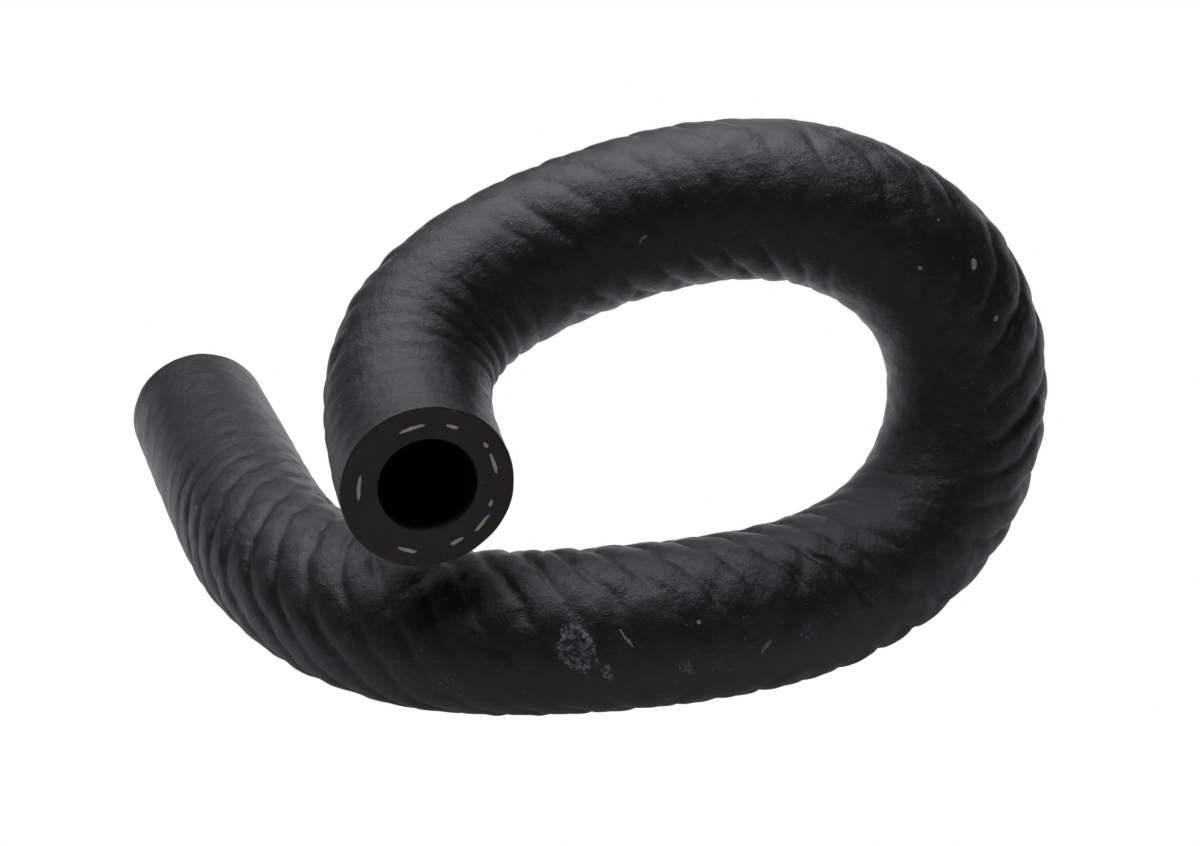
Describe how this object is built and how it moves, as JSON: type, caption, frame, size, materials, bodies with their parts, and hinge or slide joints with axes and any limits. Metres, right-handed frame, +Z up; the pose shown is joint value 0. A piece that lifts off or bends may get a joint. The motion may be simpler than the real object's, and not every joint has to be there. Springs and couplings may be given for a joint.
{
  "type": "fuel hose",
  "caption": "Short moulded rubber fuel hose, bent in an open loop, with spiral yarn bedded in its wall and two plain cut ends.",
  "frame": {"origin": "on the floor, under the middle of the hose's box", "axes": "+Z up, the straight leg and its far end along +Y, the low run along X, and the near mouth towards -Y"},
  "size_m": [0.0739, 0.0699, 0.046],
  "materials": {
    "inner_rubber": "smooth fuel-tight rubber, dull grey-black on the cut face",
    "yarn": "undyed spiral yarn, cream where it is cut",
    "cover_rubber": "black rubber with a soft sheen, spiral yarn marks, fine dust and small scuffs"
  },
  "bodies": {
    "root": {"inner_tube": "inner_rubber", "yarn_reinforcement": "yarn", "outer_cover": "cover_rubber"}
  },
  "joints": []
}
